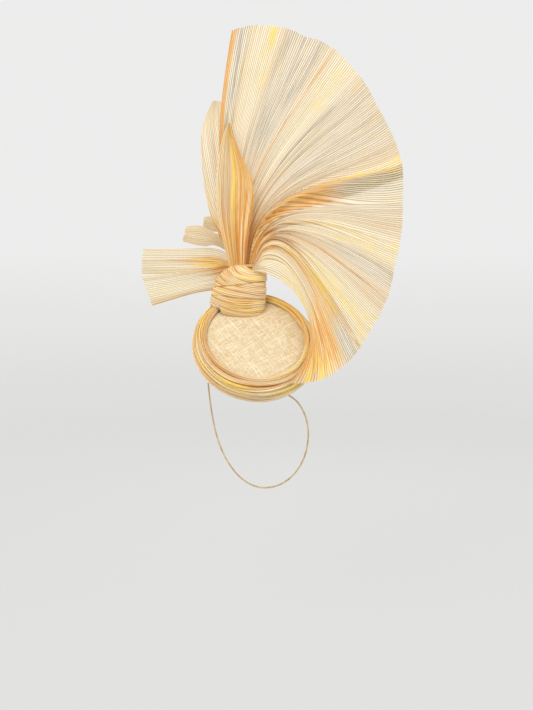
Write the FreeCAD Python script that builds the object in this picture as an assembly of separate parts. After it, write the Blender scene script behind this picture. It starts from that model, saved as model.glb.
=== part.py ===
import FreeCAD, Part
import math
import os

os.makedirs("parts", exist_ok=True)

V = FreeCAD.Vector

# Frame, as worn: +Z up, +X to the viewer's right, +Y away from the viewer, in millimetres.
# The origin is the centre of the base's underside plane, where the hat sits on the head.

# ---- pose of the base on the head ----
BASE_TILT = 53.0        # the base leans towards the viewer
BASE_ROLL = 10.0        # and dips to the viewer's right
BASE = FreeCAD.Placement(
    V(0, 0, 0),
    FreeCAD.Rotation(V(0, 1, 0), BASE_ROLL).multiply(FreeCAD.Rotation(V(1, 0, 0), BASE_TILT)),
)

# ---- blocked cap, in its own frame: z = 0 is the underside plane ----
CAP_R = 70.0            # outside of the straight side wall
CAP_H = 30.0            # top of the dome
DOME_R = 400.0          # the visible disc is nearly flat
SHOULDER_R = 12.0       # turn from disc to side wall
SINAMAY_T = 1.2         # two plies of stiffened sinamay
LINING_T = 0.4
RIBBON_T = 0.8          # petersham head ribbon
RIBBON_H = 11.0
RIM_Z = 1.0             # cut edge of the cap, inside the binding
LAY_GAP = 0.05          # between plies that lie on each other

# ---- wired and bound edge ----
WIRE_D = 1.2
BINDING_T = 0.6
BINDING_OUT_H = 6.0     # outer leg of the binding
BINDING_IN_H = 4.5      # inner leg of the binding

# ---- swathe: folded strands wound round the side and shoulder ----
STRANDS = 6
STRAND_PITCH = 5.0      # along the cap's profile
STRAND_W = 4.7
STRAND_T = 8.4
STRAND_Z0 = 9.7         # middle of the lowest strand
TOP_STRAND_HALF = 3.4   # level half width of the top strand, round the open disc
CLEAR = 0.3             # to neighbours that only lie close by

# ---- knot: a wide wrapped band round the gathered stem ----
# each row: height, centre x, centre y, half width, half depth
KNOT_ROWS = [
    (44.0, -20.0, 9.0, 31.0, 15.0),
    (58.0, -21.0, 6.0, 34.0, 19.0),
    (74.0, -19.5, 3.0, 33.5, 20.0),
    (90.0, -16.5, 1.0, 31.0, 18.0),
    (106.0, -9.0, 0.0, 23.0, 13.0),
]
WRAP_T = 4.0
WRAP_CUTS = (67.5, 87.0)        # heights where one wrap gives way to the next
WRAP_SLOPES = (-4.0, 6.0)       # and the slope of each of those edges, degrees
NECK_TOP = 109.6                # the stem, bound with thread, above the wraps
THREAD_D = 1.0
THREAD_TURNS = 3

# ---- cloth ----
CLOTH_T = 1.5           # the gathered cloth's own thickness, crimped
STRIP_ROWS = 5          # lines drawn across a small cloth, from edge to edge

# Key ribs of the big fan, from its upper left edge round to the swoop over the ring.
# Each row: start point, start heading and reach, tip point, tip heading and reach, depth of
# the two handles. Headings are degrees from +X towards +Z.
FAN_RIBS = [
    ((-25, 2, 111), 107, 108, (-29, 45, 429), 81, 106, (6, 22)),
    ((-21, 2, 111), 100, 105, (15, 52, 440), 77, 115, (6, 26)),
    ((-19, 1, 111), 95, 108, (63, 55, 432), 70, 115, (6, 30)),
    ((-17, 1, 111), 94, 112, (121, 58, 400), 58, 108, (6, 34)),
    ((-14, 0, 111), 88, 105, (144, 58, 372), 50, 98, (6, 36)),
    ((-10, -1, 111), 86, 118, (183, 52, 296), 38, 95, (4, 34)),
    ((-7, -2, 111), 85, 112, (197, 46, 264), 30, 96, (2, 30)),
    ((-5, -4, 111), 83, 100, (199, 40, 211), 14, 90, (0, 26)),
    ((-2, -6, 111), 82, 92, (192, 28, 139), -18, 72, (-4, 16)),
    ((0, -9, 111), 78, 90, (174, 10, 68), -38, 60, (-8, 4)),
    ((-1, -12, 111), 74, 105, (137, -18, 8), -46, 50, (-16, -12)),
    ((-4, -16, 109), 54, 90, (103, -38, -25), -74, 50, (-22, -16)),
    ((-7, -18, 106), 28, 72, (74, -52, -36), -100, 62, (-26, -17)),
    ((-11, -20, 103), -4, 66, (43, -64, -36), -131, 85, (-28, -15)),
]

# Smaller cloths, each as its two long edges from the root to the far end.
THROAT_EDGES = (
    [(-31, -6, 112), (-42, -6, 150), (-48, -5, 192), (-47, -3, 230), (-42, 2, 265), (-33, 8, 290)],
    [(-12, -9, 112), (-6, -12, 147), (-1, -11, 185), (-1, -8, 212), (-12, -4, 240), (-30, 7, 289)],
)
LOBE_EDGES = (
    [(-30, 12, 113), (-45, 16, 150), (-60, 20, 190), (-68, 26, 245), (-68, 31, 290), (-54, 35, 328)],
    [(-14, 12, 113), (-14, 18, 155), (-16, 25, 200), (-20, 31, 245), (-28, 36, 290), (-44, 38, 327)],
)
TAIL_FRONT_EDGES = (
    [(-46, 20, 82), (-66, 14, 78), (-98, 4, 68), (-128, -6, 59)],
    [(-42, 23, 110), (-68, 16, 106), (-104, 7, 101), (-143, -2, 96)],
)
TAIL_BACK_EDGES = (
    [(-42, 27, 112), (-70, 20, 109), (-106, 11, 104), (-143, 2, 99)],
    [(-38, 28, 133), (-68, 22, 134), (-106, 13, 132), (-141, 4, 131)],
)
LOOP_FRONT_EDGES = (
    [(-42, 22, 137), (-58, 18, 137), (-74, 14, 139), (-90, 11, 146)],
    [(-42, 25, 152), (-58, 21, 161), (-74, 18, 162), (-88, 14, 154)],
)
LOOP_BACK_EDGES = (
    [(-40, 29, 154), (-50, 27, 156), (-58, 25, 160), (-65, 23, 166)],
    [(-42, 29, 166), (-50, 28, 174), (-57, 26, 177), (-63, 24, 172)],
)

# Threads that catch the swoop down to the swathe: shares of the last rib's length.
TACK_AT = (0.8, 0.86, 0.92)
TACK_REACH = 16.0       # from the swoop well into the swathe, before the neighbours are cut away
TACK_MIDDLE = 2.5       # about where the free part of each thread lies, below the swoop

# ---- elastic ----
ELASTIC_D = 2.0
ELASTIC_KNOT_R = 2.5
SHANK_D = 1.0           # thread shank between each knot and the binding
SHANK_Z = 3.5
SHANK_GAP = 0.02        # between the shank's end and the binding
ELASTIC_ROUTE = [
    (35.0, -31.8, -40.5),
    (34.1, -24.6, -45.8),
    (41.5, -20.5, -52.5),
    (52.5, -20.5, -59.5),
    (61.5, -20.0, -72.5),
    (67.0, -20.5, -90.0),
    (67.5, -20.5, -110.0),
    (62.0, -19.0, -134.0),
    (48.0, -15.0, -156.0),
    (27.0, -9.0, -170.0),
    (3.0, -3.0, -172.0),
    (-19.0, 2.5, -160.0),
    (-36.0, 7.0, -138.0),
    (-48.0, 10.0, -110.0),
    (-55.0, 12.0, -76.0),
    (-59.0, 13.0, -42.0),
    (-60.5, 14.0, -14.0),
    (-59.5, 14.0, 7.0),
    (-58.3, 11.0, 18.4),
    (-57.4, 3.8, 23.7),
]


def save(shape, node):
    shape.exportStep("parts/" + node + ".step")
    print("%-20s volume %9.1f mm3  solids %d  valid %s" % (
        node, shape.Volume, len(shape.Solids), shape.isValid()))


def profile(inset):
    """Edges of the cap's half profile, set in by a distance: wall, shoulder, dome."""
    wall_r = CAP_R - inset
    turn_r = SHOULDER_R - inset
    dome_r = DOME_R - inset
    turn_x = CAP_R - SHOULDER_R
    reach = math.sqrt((DOME_R - SHOULDER_R) ** 2 - turn_x ** 2)
    turn_z = CAP_H - DOME_R + reach
    lean = math.atan2(reach, turn_x)
    start = V(wall_r, 0, turn_z)
    middle = V(turn_x + turn_r * math.cos(lean / 2), 0, turn_z + turn_r * math.sin(lean / 2))
    meet = V(turn_x + turn_r * math.cos(lean), 0, turn_z + turn_r * math.sin(lean))
    half = math.atan2(meet.x, meet.z - (CAP_H - DOME_R)) / 2
    crest = V(dome_r * math.sin(half), 0, CAP_H - DOME_R + dome_r * math.cos(half))
    top = V(0, 0, CAP_H - DOME_R + dome_r)
    return start, [Part.Arc(start, middle, meet).toShape(), Part.Arc(meet, crest, top).toShape()], top


def line(a, b):
    return Part.LineSegment(a, b).toShape()


def revolved(edges):
    face = Part.Face(Part.Wire(edges))
    return face.revolve(V(0, 0, 0), V(0, 0, 1), 360)


def ply(outer_inset, inner_inset, z_low):
    """A shell of the cap between two insets, down to z_low."""
    a, outer, a_top = profile(outer_inset)
    b, inner, b_top = profile(inner_inset)
    a_low = V(a.x, 0, z_low)
    b_low = V(b.x, 0, z_low)
    edges = [line(a_low, a)] + outer + [line(a_top, b_top)] + inner + [line(b, b_low), line(b_low, a_low)]
    return revolved(Part.__sortEdges__(edges))


def filled_cap(inset, z_low):
    """The cap as a full solid, grown or shrunk."""
    a, outer, a_top = profile(inset)
    a_low = V(a.x, 0, z_low)
    foot = V(0, 0, z_low)
    edges = [line(foot, a_low), line(a_low, a)] + outer + [line(a_top, foot)]
    return revolved(Part.__sortEdges__(edges))


def ring(r_in, r_out, z_low, z_high):
    outside = Part.makeCylinder(r_out, z_high - z_low, V(0, 0, z_low))
    return outside.cut(Part.makeCylinder(r_in, z_high - z_low, V(0, 0, z_low)))


def on_profile(distance, lift):
    """Point and profile heading at a distance along the lifted profile from its wall's foot."""
    turn_x = CAP_R - SHOULDER_R
    reach = math.sqrt((DOME_R - SHOULDER_R) ** 2 - turn_x ** 2)
    turn_z = CAP_H - DOME_R + reach
    if distance <= turn_z:
        return V(CAP_R + lift, 0, distance), 90.0
    swing = (distance - turn_z) / (SHOULDER_R + lift)
    x = turn_x + (SHOULDER_R + lift) * math.cos(swing)
    z = turn_z + (SHOULDER_R + lift) * math.sin(swing)
    return V(x, 0, z), 90.0 + math.degrees(swing)


def strand(index):
    """One folded strand of the swathe, an oval section carried round the cap."""
    middle, heading = on_profile(STRAND_Z0 + index * STRAND_PITCH, CLEAR + STRAND_T / 2)
    oval = Part.Ellipse(V(0, 0, 0), STRAND_T / 2, STRAND_W / 2).toShape()
    oval.rotate(V(0, 0, 0), V(1, 0, 0), 90)
    oval.rotate(V(0, 0, 0), V(0, 1, 0), 90.0 - heading)
    oval.translate(middle)
    return revolved([oval])


def base_envelope():
    """The cap and swathe as one filled body, grown by the clearance."""
    shell = filled_cap(-(STRAND_T + 2 * CLEAR), 0.0)
    eye_r = on_profile(STRAND_Z0 + (STRANDS - 1) * STRAND_PITCH, CLEAR + STRAND_T / 2)[0].x - TOP_STRAND_HALF
    shell = shell.cut(Part.makeCylinder(eye_r, 60.0, V(0, 0, 0)))
    return shell.fuse(filled_cap(-CLEAR, 0.0))


def oval_loft(rows, shrink):
    """A closed body through level ovals."""
    wires = []
    for z, x, y, half_w, half_d in rows:
        oval = Part.Ellipse(V(0, 0, 0), half_w - shrink, half_d - shrink).toShape()
        oval.translate(V(x, y, z))
        wires.append(Part.Wire([oval]))
    return Part.makeLoft(wires, True)


def slab(z_low, slope_low, z_high, slope_high):
    """Everything between two sloping planes."""
    size = 200.0
    left = -size
    right = size
    low = [z_low + x * math.tan(math.radians(slope_low)) for x in (left, right)]
    high = [z_high + x * math.tan(math.radians(slope_high)) for x in (left, right)]
    corners = [
        V(left, -size, low[0]),
        V(right, -size, low[1]),
        V(right, -size, high[1]),
        V(left, -size, high[0]),
    ]
    outline = Part.makePolygon(corners + [corners[0]])
    return Part.Face(outline).extrude(V(0, 2 * size, 0))


def largest(shape):
    return max(shape.Solids, key=lambda solid: solid.Volume)


def rib_poles(row):
    """The four control points of one rib's curve."""
    start, heading, reach, tip, tip_heading, tip_reach, depths = row
    a = V(*start)
    d = V(*tip)
    turn = math.radians(heading)
    b = V(a.x + reach * math.cos(turn), depths[0], a.z + reach * math.sin(turn))
    turn = math.radians(tip_heading)
    c = V(d.x - tip_reach * math.cos(turn), depths[1], d.z - tip_reach * math.sin(turn))
    return [a, b, c, d]


def grid_normals(grid):
    """Unit normal at each grid point, from its neighbours."""
    rows = len(grid)
    cols = len(grid[0])
    normals = []
    for i in range(rows):
        line_of = []
        for j in range(cols):
            across = grid[min(i + 1, rows - 1)][j] - grid[max(i - 1, 0)][j]
            along = grid[i][min(j + 1, cols - 1)] - grid[i][max(j - 1, 0)]
            normal = across.cross(along)
            normal.normalize()
            line_of.append(normal)
        normals.append(line_of)
    return normals


def through(grid):
    """A surface that passes through its grid of points."""
    surface = Part.BSplineSurface()
    surface.interpolate(grid)
    return surface


def blended(poles):
    """A cubic surface that is drawn to its grid of control points, without overshoot."""
    rows = len(poles)
    spans = rows - 3
    surface = Part.BSplineSurface()
    surface.buildFromPolesMultsKnots(
        poles,
        [4] + [1] * (spans - 1) + [4],
        [4, 4],
        [i / float(spans) for i in range(spans + 1)],
        [0.0, 1.0],
        False,
        False,
        3,
        3,
    )
    return surface


def cloth(grid, thickness, build):
    """A closed solid sheet of even thickness over a grid of points."""
    normals = grid_normals(grid)
    sides = []
    for half in (thickness / 2, -thickness / 2):
        moved = [[p + n * half for p, n in zip(ps, ns)] for ps, ns in zip(grid, normals)]
        sides.append(build(moved))
    u0, u1, v0, v1 = sides[0].bounds()
    w0, w1, z0, z1 = sides[1].bounds()
    faces = [sides[0].toShape(), sides[1].toShape()]
    for a, b in ((u0, w0), (u1, w1)):
        faces.append(Part.makeRuledSurface(sides[0].uIso(a).toShape(), sides[1].uIso(b).toShape()))
    for a, b in ((v0, z0), (v1, z1)):
        faces.append(Part.makeRuledSurface(sides[0].vIso(a).toShape(), sides[1].vIso(b).toShape()))
    shell = Part.Shell(faces)
    shell.sewShape()
    solid = Part.Solid(Part.Shell(shell.Faces))
    if solid.Volume < 0:
        solid.reverse()
    return solid


def strip(edges, bow):
    """A cloth between two long edges, bowed towards the viewer across its width."""
    left = [V(*p) for p in edges[0]]
    right = [V(*p) for p in edges[1]]
    grid = []
    for i in range(STRIP_ROWS):
        s = i / (STRIP_ROWS - 1.0)
        lift = -bow * math.sin(math.pi * s)
        grid.append([a * (1 - s) + b * s + V(0, lift, 0) for a, b in zip(left, right)])
    return cloth(grid, CLOTH_T, through)


def rounded_path(points):
    """Straight runs joined by tangent arcs, each as large as its two runs allow."""
    edges = []
    radii = []
    cursor = points[0]
    for before, corner, after in zip(points, points[1:], points[2:]):
        back = before - corner
        on = after - corner
        reach = 0.45 * min(back.Length, on.Length)
        back.normalize()
        on.normalize()
        turn = math.pi - back.getAngle(on)
        radius = reach / math.tan(turn / 2)
        radii.append(radius)
        enter = corner + back * reach
        leave = corner + on * reach
        inward = back + on
        inward.normalize()
        apex = corner + inward * (radius / math.cos(turn / 2) - radius)
        edges.append(Part.LineSegment(cursor, enter).toShape())
        edges.append(Part.Arc(enter, apex, leave).toShape())
        cursor = leave
    edges.append(Part.LineSegment(cursor, points[-1]).toShape())
    return Part.Wire(edges), radii


def placed(shape):
    moved = shape.copy()
    moved.Placement = BASE.multiply(moved.Placement)
    return moved


# ---- blocked cap with its lining and head ribbon ----
crown = ply(0.0, SINAMAY_T, RIM_Z)
save(placed(crown), "base_crown")

lining_inset = SINAMAY_T + LAY_GAP
lining = ply(lining_inset, lining_inset + LINING_T, RIM_Z)
save(placed(lining), "base_lining")

ribbon_out = CAP_R - lining_inset - LINING_T - LAY_GAP
head_ribbon = ring(ribbon_out - RIBBON_T, ribbon_out, RIM_Z, RIM_Z + RIBBON_H)
save(placed(head_ribbon), "head_ribbon")

# ---- wired, bound edge: the binding's flat foot is the seat on the head ----
wire_r = CAP_R + LAY_GAP + WIRE_D / 2
edge_wire = Part.makeTorus(wire_r, WIRE_D / 2, V(0, 0, RIM_Z + WIRE_D / 2), V(0, 0, 1))
save(placed(edge_wire), "edge_wire")

leg_out = wire_r + WIRE_D / 2 + LAY_GAP
leg_in = ribbon_out - RIBBON_T - LAY_GAP
binding = ring(leg_in - BINDING_T, leg_out + BINDING_T, 0.0, BINDING_T)
binding = binding.fuse(ring(leg_out, leg_out + BINDING_T, BINDING_T, BINDING_OUT_H))
binding = binding.fuse(ring(leg_in - BINDING_T, leg_in, BINDING_T, BINDING_IN_H)).removeSplitter()
save(placed(binding), "edge_binding")
print("seat ring radii %.2f to %.2f" % (leg_in - BINDING_T, leg_out + BINDING_T))

# ---- swathe ----
strands = [placed(strand(i)) for i in range(STRANDS)]
for i, shape in enumerate(strands):
    save(shape, "swathe_strand_%d" % (i + 1))

# ---- knot ----
envelope = placed(base_envelope())
outer = oval_loft(KNOT_ROWS, 0.0)
inner = oval_loft(KNOT_ROWS, WRAP_T)
core_body = oval_loft(KNOT_ROWS, WRAP_T + CLEAR)
top_row = KNOT_ROWS[-1]
neck_half_w = top_row[3] - WRAP_T - CLEAR - THREAD_D
neck_half_d = top_row[4] - WRAP_T - CLEAR - THREAD_D
neck = Part.makeLoft([
    Part.Wire([Part.Ellipse(V(top_row[1], top_row[2], z), neck_half_w, neck_half_d).toShape()])
    for z in (top_row[0] - 2.0, NECK_TOP)
], True)
core = largest(core_body.fuse(neck).removeSplitter().cut(envelope))
save(core, "knot_core")

shell = outer.cut(inner)
cut_low, cut_high = WRAP_CUTS
slope_low, slope_high = WRAP_SLOPES
half_gap = CLEAR / 2
wraps = {
    "knot_wrap_lower": slab(30.0, 0.0, cut_low - half_gap, slope_low),
    "knot_wrap_middle": slab(cut_low + half_gap, slope_low, cut_high - half_gap, slope_high),
    "knot_wrap_upper": slab(cut_high + half_gap, slope_high, 120.0, 0.0),
}
for node, between in wraps.items():
    save(largest(shell.common(between).cut(envelope)), node)

turns = []
for i in range(THREAD_TURNS):
    z = top_row[0] + 0.8 + THREAD_D / 2 + i * (THREAD_D + 0.05)
    middle = Part.Ellipse(
        V(top_row[1], top_row[2], z),
        neck_half_w + THREAD_D / 2 + LAY_GAP,
        neck_half_d + THREAD_D / 2 + LAY_GAP,
    )
    section = Part.Circle(middle.value(0), V(0, 1, 0), THREAD_D / 2).toShape()
    turns.append(Part.Wire([middle.toShape()]).makePipeShell([Part.Wire([section])], True, True))
save(Part.makeCompound(turns), "stem_thread")

# ---- the big fan and the smaller cloths ----
fan = cloth([rib_poles(row) for row in FAN_RIBS], CLOTH_T, blended)
save(fan, "fan_main")
cloths = {
    "fan_throat_fold": strip(THROAT_EDGES, 5.0),
    "fan_back_lobe": strip(LOBE_EDGES, 3.0),
    "tail_front": strip(TAIL_FRONT_EDGES, 4.0),
    "tail_back": strip(TAIL_BACK_EDGES, 3.0),
    "loop_front": strip(LOOP_FRONT_EDGES, 5.0),
    "loop_back": strip(LOOP_BACK_EDGES, 3.0),
}
for node, shape in cloths.items():
    save(shape, node)

# ---- tacks between the swoop and the swathe ----
normal = BASE.Rotation.multVec(V(0, 0, 1))
last_rib = Part.BezierCurve()
last_rib.setPoles(rib_poles(FAN_RIBS[-1]))
tacks = []
for share in TACK_AT:
    spot = last_rib.value(share)
    bar = Part.makeCylinder(THREAD_D / 2, TACK_REACH, spot, -normal)
    for neighbour in [fan] + strands[2:]:
        bar = bar.cut(neighbour)
    aim = spot - normal * TACK_MIDDLE
    tacks.append(min(bar.Solids, key=lambda solid: solid.CenterOfMass.distanceToPoint(aim)))
save(Part.makeCompound(tacks), "fan_tack_stitches")

# ---- elastic ----
route = [V(*p) for p in ELASTIC_ROUTE]
path, radii = rounded_path(route)
section = Part.Circle(route[0], route[1] - route[0], ELASTIC_D / 2).toShape()
elastic = path.makePipeShell([Part.Wire([section])], True, False)
ideal = math.pi * ELASTIC_D ** 2 / 4 * path.Length
print("elastic length %.1f mm, volume %.1f against %.1f" % (path.Length, elastic.Volume, ideal))
print("elastic radii", [round(r, 1) for r in radii])
print("elastic runs", [round((b - a).Length, 1) for a, b in zip(route, route[1:])])
knots = [Part.makeSphere(ELASTIC_KNOT_R, p) for p in (route[0], route[-1])]
save(elastic, "elastic_cord")
save(Part.makeCompound(knots), "elastic_knots")

shanks = []
for anchor in (route[0], route[-1]):
    local = BASE.inverse().multVec(anchor)
    outward = V(local.x, local.y, 0)
    knot_r = outward.Length
    outward.normalize()
    foot = outward * (knot_r + ELASTIC_KNOT_R + CLEAR) + V(0, 0, SHANK_Z)
    reach = leg_in - BINDING_T - SHANK_GAP - (knot_r + ELASTIC_KNOT_R + CLEAR)
    shanks.append(Part.makeCylinder(SHANK_D / 2, reach, foot, outward))
save(placed(Part.makeCompound(shanks)), "elastic_shanks")
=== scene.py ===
# %% [markdown]
# # A fascinator of ribbed silk abaca
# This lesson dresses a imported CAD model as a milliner's headpiece: a tall fan of crimped
# sheer cloth, a wrapped knot, a swathed sinamay base and an elastic loop. The CAD model is
# the frame that everything is built round. It is never moved. Its plain cloth solids are
# replaced by real cloth, and its cap, ribbon, binding and threads keep their shape and get
# proper finishes. Everything is in metres, with +Z up and the viewer on the -Y side.

# %% Load the frame
import math

import bpy
import numpy as np
from mathutils import Matrix, Vector


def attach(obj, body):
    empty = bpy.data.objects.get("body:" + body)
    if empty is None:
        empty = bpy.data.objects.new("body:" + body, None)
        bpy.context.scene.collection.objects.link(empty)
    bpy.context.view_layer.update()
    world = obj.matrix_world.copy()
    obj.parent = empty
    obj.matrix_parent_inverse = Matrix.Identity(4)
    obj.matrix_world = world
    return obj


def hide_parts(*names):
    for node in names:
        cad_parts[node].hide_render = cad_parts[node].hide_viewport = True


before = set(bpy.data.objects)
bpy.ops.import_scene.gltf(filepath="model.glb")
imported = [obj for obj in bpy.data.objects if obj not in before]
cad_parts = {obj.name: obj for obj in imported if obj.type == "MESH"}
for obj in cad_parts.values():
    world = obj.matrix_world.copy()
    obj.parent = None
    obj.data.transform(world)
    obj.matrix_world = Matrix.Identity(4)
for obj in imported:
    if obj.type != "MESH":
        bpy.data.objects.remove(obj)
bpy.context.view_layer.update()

MM = 0.001
scene = bpy.context.scene

# %% [markdown]
# ## The camera
# The hat is seen from straight in front at about 0.9 m, a little above the base. A lens as
# long as the sensor is wide gives the same gentle perspective. The camera is kept level, so
# that upright lines stay upright, and a small lens shift frames the hat. Tilting the camera
# instead would lean the tall fan back.

# %% Camera
def placed(name, data):
    """A new object with that data, in the scene."""
    piece = bpy.data.objects.new(name, data)
    scene.collection.objects.link(piece)
    return piece


camera = bpy.data.cameras.new("camera")
camera.lens = 36.0
camera.sensor_width = 36.0
camera_object = placed("camera", camera)
camera_object.location = (0.0, -0.900, 0.0262)
camera_object.rotation_euler = (math.radians(90), 0.0, 0.0)
camera.shift_x = 0.0176
camera.shift_y = -0.0338
scene.camera = camera_object
print("camera lens", camera.lens, "mm at", tuple(camera_object.location))

# %% [markdown]
# ## Small tools for node materials
# A material is a tree of nodes. Building one by hand means the same three moves again and
# again: add a node, set its values, join it to the last one. These helpers make each move
# one short line, so that the finishes below read like recipes.

# %% Material helpers
BLACK = (0, 0, 0, 1)
WHITE = (1, 1, 1, 1)


def colour(red, green, blue):
    """A screen colour, 0 to 255, as the linear colour that shaders use."""
    linear = []
    for c in (red, green, blue):
        c = c / 255.0
        linear.append(c / 12.92 if c <= 0.04045 else ((c + 0.055) / 1.055) ** 2.4)
    return (*linear, 1.0)


class Finish:
    """A node material under construction."""

    def __init__(self, name):
        self.material = bpy.data.materials.new(name)
        self.material.use_nodes = True
        self.nodes = self.material.node_tree.nodes
        self.links = self.material.node_tree.links
        self.shader = self.nodes["Principled BSDF"]
        self.output = self.nodes["Material Output"]

    def add(self, kind, values=None, **settings):
        node = self.nodes.new(kind)
        for name, value in settings.items():
            setattr(node, name, value)
        for key, value in (values or {}).items():
            self.feed(value, node.inputs[key])
        return node

    def feed(self, value, socket):
        if isinstance(value, bpy.types.NodeSocket):
            self.links.new(value, socket)
        else:
            socket.default_value = value

    def maths(self, operation, a, b=0.0, c=0.0, clamp=False):
        node = self.add("ShaderNodeMath", operation=operation, use_clamp=clamp)
        for socket, value in zip(node.inputs, (a, b, c)):
            self.feed(value, socket)
        return node.outputs[0]

    def times(self, a, b):
        return self.maths("MULTIPLY", a, b)

    def scaled(self, value, factor, offset, clamp=True):
        return self.maths("MULTIPLY_ADD", value, factor, offset, clamp)

    def noise(self, vector, scale, detail, roughness, **settings):
        values = {"Vector": vector, "Scale": scale, "Detail": detail, "Roughness": roughness}
        return self.add("ShaderNodeTexNoise", values, **settings).outputs["Fac"]

    def stretched(self, vector, x, y, z=1.0):
        node = self.add("ShaderNodeMapping", {"Vector": vector, "Scale": (x, y, z)})
        return node.outputs["Vector"]

    def ramp(self, value, stops, interpolation="LINEAR"):
        node = self.nodes.new("ShaderNodeValToRGB")
        node.color_ramp.interpolation = interpolation
        elements = node.color_ramp.elements
        while len(elements) < len(stops):
            elements.new(0.5)
        for element, (place, tint) in zip(elements, stops):
            element.position = place
            element.color = tint
        self.feed(value, node.inputs["Fac"])
        return node.outputs["Color"]

    def rise(self, value, low, high):
        return self.ramp(value, [(low, BLACK), (high, WHITE)])

    def drop(self, value, low, high):
        return self.ramp(value, [(low, WHITE), (high, BLACK)])

    def mix(self, share, a, b, blend="MIX"):
        node = self.add("ShaderNodeMix", data_type="RGBA", blend_type=blend)
        self.feed(share, node.inputs["Factor"])
        self.feed(a, node.inputs["A"])
        self.feed(b, node.inputs["B"])
        return node.outputs["Result"]

    def washed(self, share, tint, wash):
        """A tint multiplied, in some share, by another."""
        return self.mix(share, tint, wash, "MULTIPLY")

    def bump(self, height, strength, distance):
        values = {"Height": height, "Strength": strength, "Distance": distance}
        return self.add("ShaderNodeBump", values).outputs["Normal"]

    def set(self, **sockets):
        for name, value in sockets.items():
            self.feed(value, self.shader.inputs[name.replace("_", " ")])


# %% [markdown]
# ## The elastic
# A round hat elastic, 2 mm thick and about 0.40 m long, is knotted inside the rim at both
# sides and hangs in a loop, because no head fills it. A cord is best made as one curve with
# a round bevel: its control points are the route, and the curve stays smooth between them.

# %% Elastic finish
def braided_elastic():
    """Fine covered rubber: a speckle of threads under a soft unevenness."""
    f = Finish("braided_elastic")
    place = f.add("ShaderNodeTexCoord").outputs["Object"]
    braid = f.noise(place, 2600.0, 2.0, 0.6)
    cloud = f.noise(place, 140.0, 2.0, 0.5)
    tint = f.ramp(f.scaled(cloud, 0.4, f.times(braid, 0.6), clamp=False), [
        (0.38, colour(160, 134, 92)),
        (0.60, colour(212, 188, 144)),
    ])
    f.set(Base_Color=tint, Roughness=0.6, Sheen_Weight=0.15, Specular_IOR_Level=0.3)
    f.set(Normal=f.bump(braid, 0.6, 0.0003))
    return f.material


elastic_finish = braided_elastic()
print("finish", elastic_finish.name)

# %% Elastic loop
ELASTIC_D = 2.0 * MM
KNOT_ELASTIC_D = 1.7 * MM   # pulled tight, so thinner
KNOT_SIZE = 0.82 * MM
ELASTIC_ROUTE = [
    (35.0, -31.8, -40.5),
    (34.1, -24.6, -45.8),
    (41.5, -20.5, -52.5),
    (52.5, -20.5, -59.5),
    (61.5, -20.0, -72.5),
    (67.0, -20.5, -90.0),
    (67.5, -20.5, -110.0),
    (62.0, -19.0, -134.0),
    (48.0, -15.0, -156.0),
    (27.0, -9.0, -170.0),
    (3.0, -3.0, -172.0),
    (-19.0, 2.5, -160.0),
    (-36.0, 7.0, -138.0),
    (-48.0, 10.0, -110.0),
    (-55.0, 12.0, -76.0),
    (-59.0, 13.0, -42.0),
    (-60.5, 14.0, -14.0),
    (-59.5, 14.0, 7.0),
    (-58.3, 11.0, 18.4),
    (-57.4, 3.8, 23.7),
]


def smooth_cord(name, route, thickness, facets=6):
    """A round cord along a route, as a NURBS curve of order 3."""
    data = bpy.data.curves.new(name, "CURVE")
    data.dimensions = "3D"
    data.resolution_u = 8
    data.bevel_depth = thickness / 2
    data.bevel_resolution = facets
    data.use_fill_caps = True
    spline = data.splines.new("NURBS")
    spline.points.add(len(route) - 1)
    for point, place in zip(spline.points, route):
        point.co = (*place, 1.0)
    spline.order_u = 3
    spline.use_endpoint_u = True
    data.materials.append(elastic_finish)
    return placed(name, data)


elastic_points = [tuple(c * MM for c in point) for point in ELASTIC_ROUTE]
elastic = smooth_cord("elastic_loop", elastic_points, ELASTIC_D)
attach(elastic, "elastic")
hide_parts("elastic_cord")
print("elastic points", len(elastic_points))

# %% [markdown]
# ## End knots of the elastic
# Each end is tied in an overhand knot, which stops it pulling through its stitches. An
# overhand knot is a trefoil, so the knot is a short cord that follows one, pulled tight.
# It is modelled once and copied to the other end.

# %% Elastic knots
def end_knot(name, centre):
    """A tight overhand knot of elastic about a point."""
    path = []
    for t in np.linspace(0.0, 2 * math.pi, 25)[:-1]:
        path.append((
            centre[0] + KNOT_SIZE * (math.sin(t) + 1.25 * math.sin(2 * t)),
            centre[1] + KNOT_SIZE * (math.cos(t) - 1.25 * math.cos(2 * t)),
            centre[2] - 1.1 * KNOT_SIZE * math.sin(3 * t),
        ))
    knot = smooth_cord(name, path, KNOT_ELASTIC_D, facets=4)
    knot.data.splines[0].use_cyclic_u = True
    bpy.ops.object.select_all(action="DESELECT")
    knot.select_set(True)
    bpy.context.view_layer.objects.active = knot
    bpy.ops.object.convert(target="MESH")
    return bpy.context.view_layer.objects.active


knot_pieces = [
    end_knot("elastic_knot_right", elastic_points[0]),
    end_knot("elastic_knot_left", elastic_points[-1]),
]
for piece in knot_pieces:
    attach(piece, "elastic")
    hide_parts("elastic_knots")
print("elastic knots", [piece.name for piece in knot_pieces])

# %% [markdown]
# ## How the cloth is drawn
# Silk abaca is crimped in narrow ribs, and the whole look of the hat comes from the way the
# ribs fan out of the knot. So the cloth is drawn rib by rib. Each key rib is one cubic curve
# with a start, a heading, a tip and a heading there, and a B-spline blends the ribs in
# between. Cloth simulation could drape a plain sheet, but it would not keep stiffened ribs
# standing up against gravity as a milliner's wired and sized cloth does.

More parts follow.
